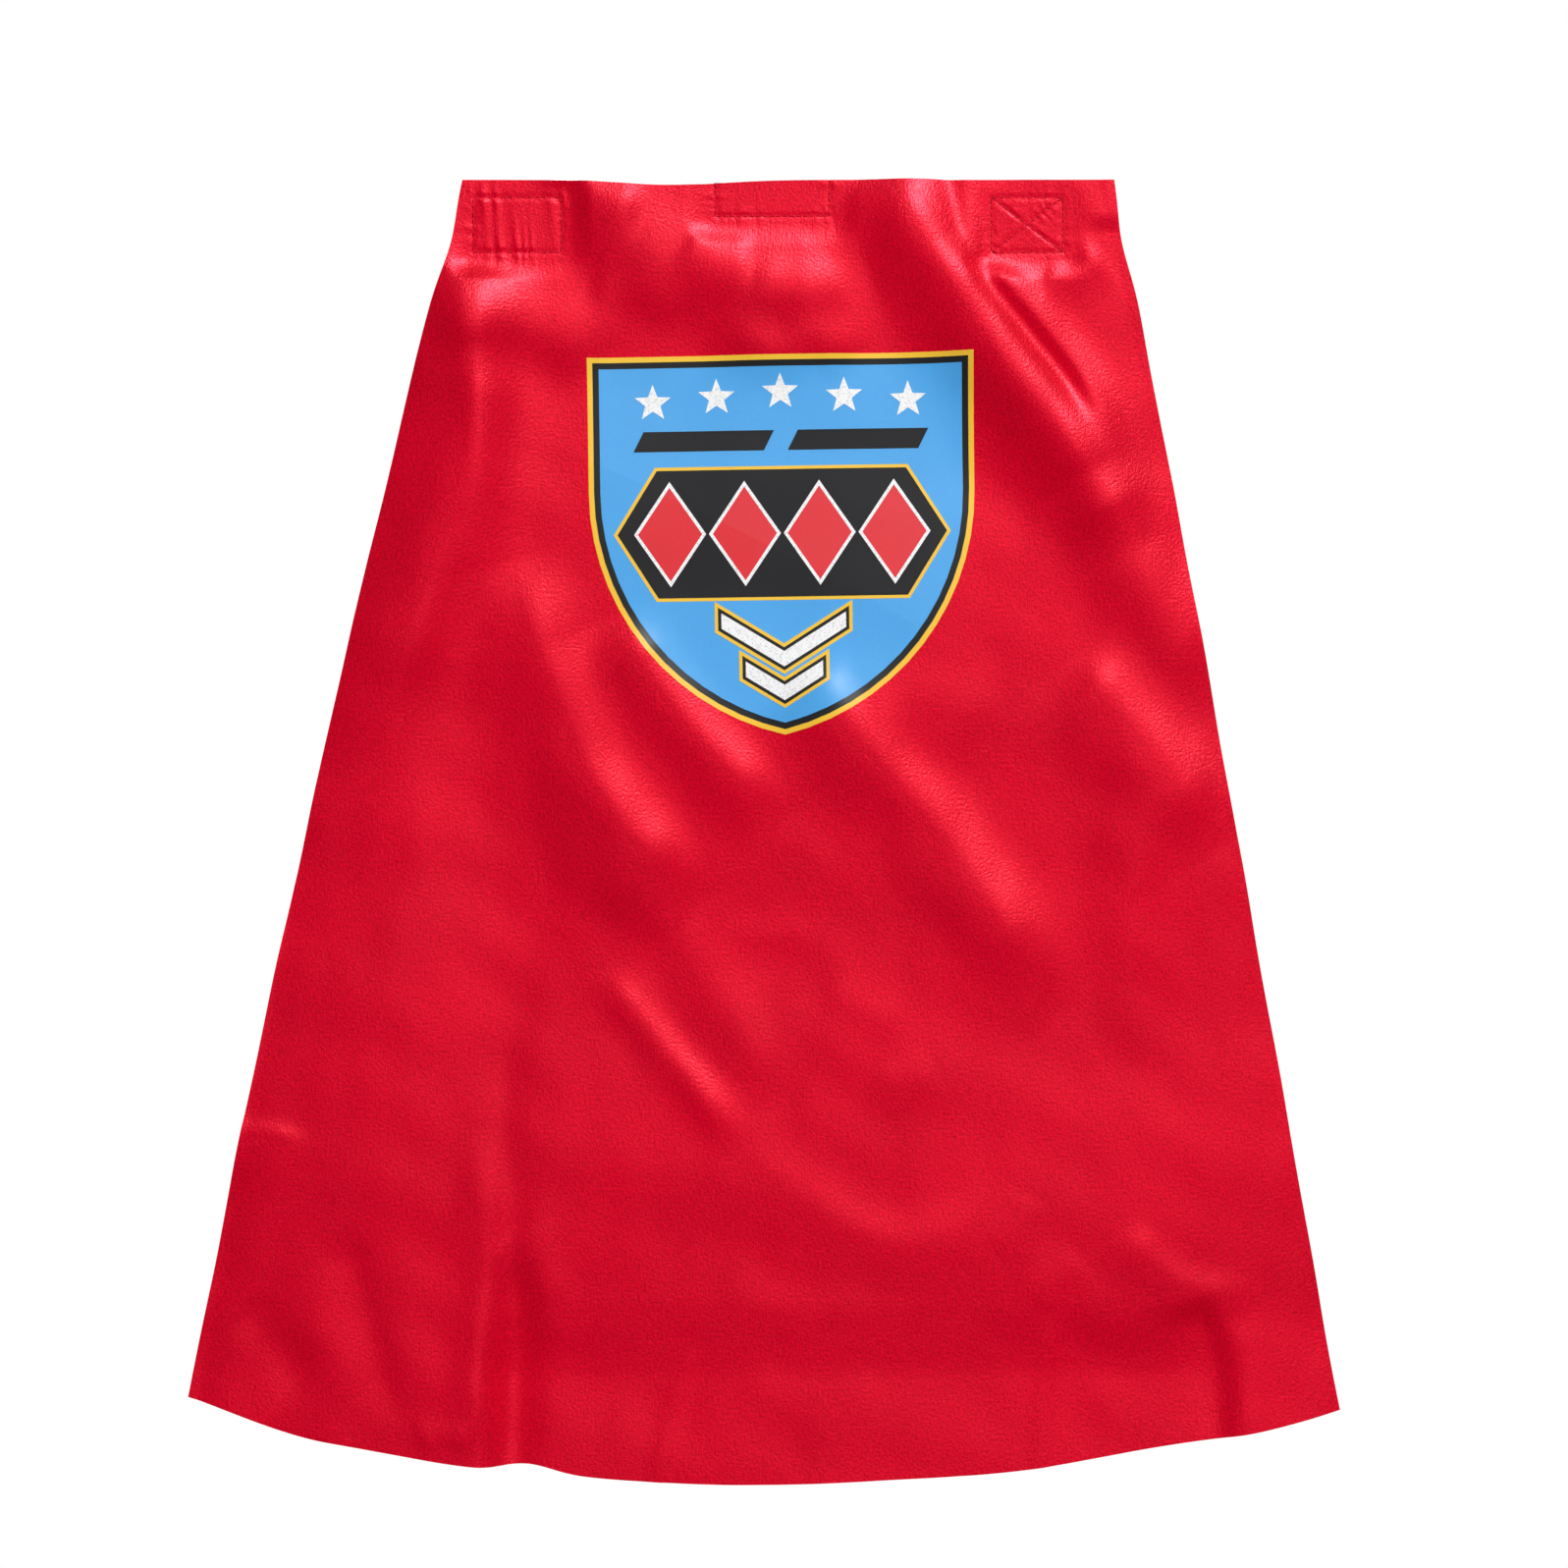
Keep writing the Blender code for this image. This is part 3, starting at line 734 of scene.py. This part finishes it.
class CAPE_OT_tape_grounds(bpy.types.Operator):
    """Weaves the ground of each hook tape"""
    bl_idname = "cape.tape_grounds"
    bl_label = "Tape grounds"

    def execute(self, context):
        tapes = context.scene.cape_tapes
        paint = tape_ground(tapes)
        for name in TAPES:
            low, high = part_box(name)
            size = (high.x - low.x, tapes.base_thickness, high.z - low.z)
            centre = ((low.x + high.x) / 2, low.y + tapes.base_thickness / 2, (low.z + high.z) / 2)
            bpy.ops.object.select_all(action="DESELECT")
            bpy.ops.mesh.primitive_cube_add(size=1, location=centre, scale=size)
            bpy.ops.object.transform_apply(location=True, rotation=False, scale=True)
            piece = context.object
            select_edges(piece, lambda edge: abs(edge.y) > 0.5)
            bpy.ops.mesh.bevel(offset=0.0007, segments=4)
            bpy.ops.object.mode_set(mode="OBJECT")
            bevel = piece.modifiers.new("worn rim", "BEVEL")
            bevel.width = 0.00012
            bevel.segments = 2
            apply_modifiers(piece)
            bpy.ops.object.shade_smooth_by_angle(angle=math.radians(40))
            piece.name = name.replace("hook_tape", "tape_ground")
            dressed(piece, paint, "red_hook_tape", "yoke", name)
        return {"FINISHED"}


def select_edges(piece, test):
    """Selects in edit mode the edges whose direction passes a test."""
    only(piece)
    bpy.ops.object.mode_set(mode="EDIT")
    bpy.ops.mesh.select_mode(type="EDGE")
    bpy.ops.mesh.select_all(action="DESELECT")
    shape = bmesh.from_edit_mesh(piece.data)
    for edge in shape.edges:
        direction = (edge.verts[1].co - edge.verts[0].co).normalized()
        edge.select_set(test(direction))
    bmesh.update_edit_mesh(piece.data)


class CAPE_OT_hooks(bpy.types.Operator):
    """Fills each tape with rows of monofilament hooks that lean both ways"""
    bl_idname = "cape.hooks"
    bl_label = "Hooks"

    def one_hook(self, tapes, x, root_y, tip_y, z, lean):
        """A hook whose stem rises from the ground and bends over."""
        stem = tip_y - root_y - tapes.hook_radius - tapes.monofilament
        bpy.ops.object.select_all(action="DESELECT")
        bpy.ops.mesh.primitive_circle_add(vertices=5, radius=tapes.monofilament, fill_type="NGON",
                                          location=(x, root_y, z), rotation=(math.pi / 2, 0, 0))
        bpy.ops.object.transform_apply(location=True, rotation=True, scale=False)
        bpy.ops.object.mode_set(mode="EDIT")
        bpy.ops.mesh.select_all(action="SELECT")
        bpy.ops.mesh.extrude_region_move(TRANSFORM_OT_translate={"value": (0, stem, 0)})
        pivot = (x + lean * tapes.hook_radius, root_y + stem, z)
        bpy.ops.mesh.spin(steps=5, angle=HOOK_BEND, center=pivot, axis=(0, 0, -lean))
        bpy.ops.mesh.select_all(action="SELECT")
        bpy.ops.mesh.normals_make_consistent(inside=False)
        bpy.ops.object.mode_set(mode="OBJECT")
        return bpy.context.object

    def execute(self, context):
        tapes = context.scene.cape_tapes
        paint = hook_nylon(tapes)
        for name in TAPES:
            low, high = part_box(name)
            left, right = low.x + tapes.selvedge, high.x - tapes.selvedge
            bottom, top = low.z + tapes.selvedge, high.z - tapes.selvedge
            columns = int((right - left) / (2 * tapes.hook_pitch))
            rows = int((top - bottom) / tapes.hook_pitch)
            step_x, step_z = (right - left) / columns, (top - bottom) / rows
            root_y = low.y + tapes.base_thickness * 0.9
            pair = [self.one_hook(tapes, left + step_x * share, root_y, high.y, bottom + step_z * 0.5, lean)
                    for share, lean in ((0.12, 1), (0.88, -1))]
            piece = joined(name.replace("hook_tape", "tape_hooks"), pair)
            for count, offset in ((columns, (step_x, 0, 0)), (rows, (0, 0, step_z))):
                array = piece.modifiers.new("rows", "ARRAY")
                array.use_relative_offset = False
                array.use_constant_offset = True
                array.constant_offset_displace = offset
                array.count = count
            apply_modifiers(piece)
            bpy.ops.object.shade_smooth_by_angle(angle=math.radians(50))
            dressed(piece, paint, "red_hook_tape", "yoke")
        return {"FINISHED"}


class CAPE_OT_stitches(bpy.types.Operator):
    """Sews each tape on with lockstitch that shows on both sides"""
    bl_idname = "cape.stitches"
    bl_label = "Stitches"

    def row(self, stitches, start, end, y):
        """Stitches from one point to another on a level y."""
        run = Vector((end[0] - start[0], 0, end[1] - start[1]))
        count = max(2, round(run.length / stitches.pitch))
        step = run / count
        bpy.ops.object.select_all(action="DESELECT")
        first = Vector((start[0], y, start[1])) + step / 2
        turn = math.atan2(-run.z, run.x)
        scale = (step.length * 0.48, stitches.thread * 0.42, stitches.thread / 2)
        bpy.ops.mesh.primitive_uv_sphere_add(segments=8, ring_count=6, radius=1, location=first,
                                             rotation=(0, turn, 0), scale=scale)
        bpy.ops.object.transform_apply(location=True, rotation=True, scale=True)
        piece = bpy.context.object
        array = piece.modifiers.new("stitches", "ARRAY")
        array.use_relative_offset = False
        array.use_constant_offset = True
        array.constant_offset_displace = step
        array.count = count
        apply_modifiers(piece)
        return piece

    def execute(self, context):
        stitches = context.scene.cape_stitches
        paint = thread_paint(stitches)
        face = TAPE_FRONT_Y - context.scene.cape_satin.thickness
        ground = TAPE_FRONT_Y + context.scene.cape_tapes.base_thickness
        for name, lines in seam_lines(stitches).items():
            front = joined("front", [self.row(stitches, *line, face) for line in lines])
            points = mesh_points(front.data)
            points[:, 1] += satin_y(points[:, 0], points[:, 2]) - face
            move_points(front.data, points)
            back = [self.row(stitches, *line, ground) for line in lines[:4]]
            piece = joined(name.replace("hook_tape", "tape_stitches"), [front, *back])
            bpy.ops.object.shade_smooth()
            dressed(piece, paint, "red_thread", "yoke", name.replace("hook_tape", "tape_stitching"))
        return {"FINISHED"}


class CAPE_OT_films(bpy.types.Operator):
    """Presses the emblem's cut films onto the satin, layer upon layer"""
    bl_idname = "cape.films"
    bl_label = "Emblem films"

    def draped(self, node, layer, films):
        """A film with its node's outline that follows the satin."""
        mesh = frame["nodes"][node].data.copy()
        shape = bmesh.new()
        shape.from_mesh(mesh)
        bmesh.ops.remove_doubles(shape, verts=shape.verts, dist=0.000002)
        near = min(vertex.co.y for vertex in shape.verts)
        hidden = [face for face in shape.faces if any(v.co.y > near + films.thickness / 4 for v in face.verts)]
        bmesh.ops.delete(shape, geom=hidden, context="FACES")
        bmesh.ops.dissolve_limit(shape, angle_limit=0.01, verts=shape.verts, edges=shape.edges)
        low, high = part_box(node)
        for axis, first, last in (("x", low.x, high.x), ("z", low.z, high.z)):
            normal = Vector((axis == "x", 0, axis == "z"))
            for number in range(math.floor(first / films.facet) + 1, math.ceil(last / films.facet)):
                everything = [*shape.verts, *shape.edges, *shape.faces]
                bmesh.ops.bisect_plane(shape, geom=everything, plane_co=normal * number * films.facet,
                                       plane_no=normal, dist=0.0000005)
        shape.normal_update()
        if sum(face.normal.y * face.calc_area() for face in shape.faces) > 0:
            bmesh.ops.reverse_faces(shape, faces=shape.faces)
        shape.to_mesh(mesh)
        shape.free()
        mesh.name = node + "_film"
        points = mesh_points(mesh)
        points[:, 1] = satin_y(points[:, 0], points[:, 2]) - (layer + 0.5) * films.thickness
        move_points(mesh, points)
        piece = bpy.data.objects.new(node + "_film", mesh)
        bpy.context.scene.collection.objects.link(piece)
        solidify = piece.modifiers.new("film", "SOLIDIFY")
        solidify.thickness = films.thickness * 0.9
        solidify.offset = -1
        apply_modifiers(piece)
        bpy.ops.object.shade_smooth_by_angle(angle=math.radians(35))
        return piece

    def execute(self, context):
        films = context.scene.cape_films
        paints = {
            "yellow_film": film_paint("yellow_film", films.yellow),
            "black_film": film_paint("black_film", films.black),
            "blue_film": film_paint("blue_film", films.blue),
            "white_film": film_paint("white_film", films.white, glitter=0.7),
            "red_film": film_paint("red_film", films.red),
        }
        slots = {part["node"]: part["material_slot"] for part in frame["record"]["subparts"]}
        emblem = [node for node in frame["nodes"] if slots[node].endswith("_film")]
        levels = sorted({round(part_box(node)[0].y, 5) for node in emblem}, reverse=True)
        for node in emblem:
            layer = levels.index(round(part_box(node)[0].y, 5)) + 1
            piece = self.draped(node, layer, films)
            dressed(piece, paints[slots[node]], slots[node], "drape_upper", node)
        return {"FINISHED"}


class CAPE_OT_stage(bpy.types.Operator):
    """Sets the camera, the pale floor and the soft studio light"""
    bl_idname = "cape.stage"
    bl_label = "Stage"

    def light(self, name, place, size, power, aim, diffuse=True, gloss=True):
        """A soft box that faces a point, and what it lights: matt surfaces, glossy ones or both."""
        data = bpy.data.lights.new(name, "AREA")
        data.shape = "RECTANGLE"
        data.size, data.size_y = size
        data.energy = power
        lamp = bpy.data.objects.new(name, data)
        lamp.location = place
        lamp.rotation_mode = "QUATERNION"
        lamp.rotation_quaternion = (Vector(aim) - Vector(place)).to_track_quat("-Z", "Y")
        lamp.visible_diffuse = diffuse
        lamp.visible_glossy = gloss
        bpy.context.scene.collection.objects.link(lamp)

    def execute(self, context):
        stage = context.scene.cape_stage
        data = bpy.data.cameras.new("camera")
        data.lens = stage.lens
        camera = bpy.data.objects.new("camera", data)
        distance = stage.view_side * data.lens / data.sensor_width + 0.006
        camera.location = (stage.view_right, -distance, -stage.view_down)
        camera.rotation_euler = (math.pi / 2, 0, 0)
        context.scene.collection.objects.link(camera)
        context.scene.camera = camera

        bpy.ops.object.select_all(action="DESELECT")
        bpy.ops.mesh.primitive_circle_add(vertices=128, radius=1.05, fill_type="NGON",
                                          location=(0, 0, HEM_Z - stage.floor_gap))
        bpy.ops.object.transform_apply(location=True, rotation=False, scale=False)
        floor = context.object
        floor.name = "floor"
        paint = Paint("pale_floor", (0.5, 0.5, 0.5), 0.8, Emission_Color=(1.0, 1.0, 1.0, 1.0),
                      Emission_Strength=0.94)
        speckle = paint.noise(paint.place(), 40.0)
        paint.feed("Base Color", paint.mix(speckle, (0.48, 0.48, 0.48), (0.52, 0.52, 0.52)))
        floor.data.materials.append(paint.material)
        floor.visible_diffuse = False
        floor.visible_glossy = False

        middle = (0, 0, -0.2)
        self.light("key", (0.72, -0.92, 1.32), (0.5, 0.35), 6, middle, gloss=False)
        self.light("sheen", (1.06, -1.5, 2.2), (0.95, 0.6), 154, middle, diffuse=False)
        self.light("front", (0.5, -3.0, 0.5), (2.0, 2.0), 99, middle, gloss=False)
        self.light("back", (0.2, 1.4, 0.7), (1.2, 0.9), 46, middle)
        world = bpy.data.worlds.new("studio")
        world.use_nodes = True
        context.scene.world = world
        nodes, links = world.node_tree.nodes, world.node_tree.links
        soft = nodes["Background"]
        soft.inputs["Color"].default_value = (1, 1, 1, 1)
        soft.inputs["Strength"].default_value = 0.03
        seen = nodes.new("ShaderNodeBackground")
        seen.inputs["Color"].default_value = (1, 1, 1, 1)
        path = nodes.new("ShaderNodeLightPath")
        mix = nodes.new("ShaderNodeMixShader")
        links.new(path.outputs["Is Camera Ray"], mix.inputs[0])
        links.new(soft.outputs[0], mix.inputs[1])
        links.new(seen.outputs[0], mix.inputs[2])
        links.new(mix.outputs[0], nodes["World Output"].inputs["Surface"])
        context.scene.view_settings.view_transform = "Standard"
        return {"FINISHED"}


class CAPE_PT_panel(bpy.types.Panel):
    """Lists the steps of making the cape"""
    bl_idname = "CAPE_PT_panel"
    bl_label = "Superhero Cape"
    bl_space_type = "VIEW_3D"
    bl_region_type = "UI"
    bl_category = "Cape"

    def draw(self, context):
        for operator in OPERATORS:
            self.layout.operator(operator.bl_idname)


SETTINGS = {
    "cape_satin": CapeSatin,
    "cape_tapes": CapeTapes,
    "cape_stitches": CapeStitches,
    "cape_films": CapeFilms,
    "cape_stage": CapeStage,
}
OPERATORS = (CAPE_OT_stage, CAPE_OT_satin, CAPE_OT_tape_grounds, CAPE_OT_hooks, CAPE_OT_stitches, CAPE_OT_films)


def register():
    for cls in (*SETTINGS.values(), *OPERATORS, CAPE_PT_panel):
        bpy.utils.register_class(cls)
    for name, group in SETTINGS.items():
        setattr(bpy.types.Scene, name, PointerProperty(type=group))


def unregister():
    for name in SETTINGS:
        delattr(bpy.types.Scene, name)
    for cls in (CAPE_PT_panel, *reversed(OPERATORS), *SETTINGS.values()):
        bpy.utils.unregister_class(cls)


def main():
    register()
    bpy.ops.cape.stage()
    bpy.ops.cape.satin()
    bpy.ops.cape.tape_grounds()
    bpy.ops.cape.hooks()
    bpy.ops.cape.stitches()
    bpy.ops.cape.films()


if __name__ == "__main__":
    main()
